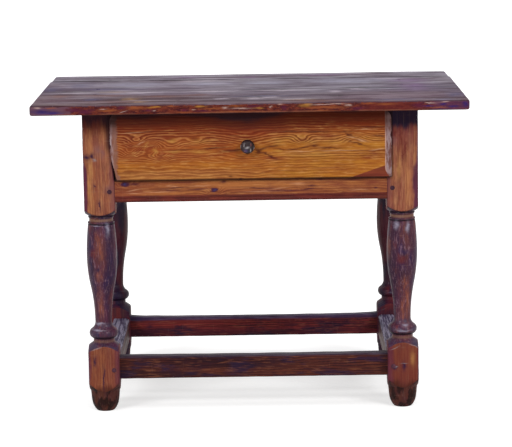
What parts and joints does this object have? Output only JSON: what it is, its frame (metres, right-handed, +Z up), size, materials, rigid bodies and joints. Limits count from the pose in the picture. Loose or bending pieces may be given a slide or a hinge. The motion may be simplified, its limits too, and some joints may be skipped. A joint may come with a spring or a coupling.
{
  "type": "tavern table",
  "caption": "Joined wooden tavern table: pegged plank top, turned baluster legs, low box stretchers and a lipped drawer that slides out to the front.",
  "frame": {"origin": "on the floor, under the middle of the top", "axes": "+Z up; the drawer faces -Y; +X to the right of someone who stands in front of the drawer"},
  "size_m": [0.97, 0.64, 0.711],
  "materials": {
    "top_planks": "worn, waxed",
    "turned_legs": "old varnish, worn",
    "rails": "old varnish",
    "aprons": "old varnish",
    "stretchers": "old varnish, worn",
    "drawer_supports": "bare wood",
    "pegs": "bare wood, dark with age",
    "drawer_face": "old varnish",
    "drawer_box": "bare wood",
    "knob": "old varnish"
  },
  "bodies": {
    "frame": {"apron_back": "aprons", "apron_left": "aprons", "apron_right": "aprons", "front_rail": "rails", "guide_left": "drawer_supports", "guide_right": "drawer_supports", "kicker_left": "drawer_supports", "kicker_right": "drawer_supports", "leg_back_left": "turned_legs", "leg_back_right": "turned_legs", "leg_front_left": "turned_legs", "leg_front_right": "turned_legs", "pegs_back": "pegs", "pegs_front": "pegs", "pegs_left": "pegs", "pegs_right": "pegs", "pegs_top": "pegs", "runner_left": "drawer_supports", "runner_right": "drawer_supports", "stretcher_back": "stretchers", "stretcher_front": "stretchers", "stretcher_left": "stretchers", "stretcher_right": "stretchers", "top_board_back": "top_planks", "top_board_front": "top_planks", "top_board_middle": "top_planks", "upper_rail": "rails"},
    "drawer": {"drawer_back": "drawer_box", "drawer_bottom": "drawer_box", "drawer_front": "drawer_face", "drawer_knob": "knob", "drawer_side_left": "drawer_box", "drawer_side_right": "drawer_box"}
  },
  "joints": [
    {"name": "drawer_slide", "type": "slide", "parent": "frame", "child": "drawer", "axis": [0, -1, 0], "range_m": [0, 0.33]}
  ]
}
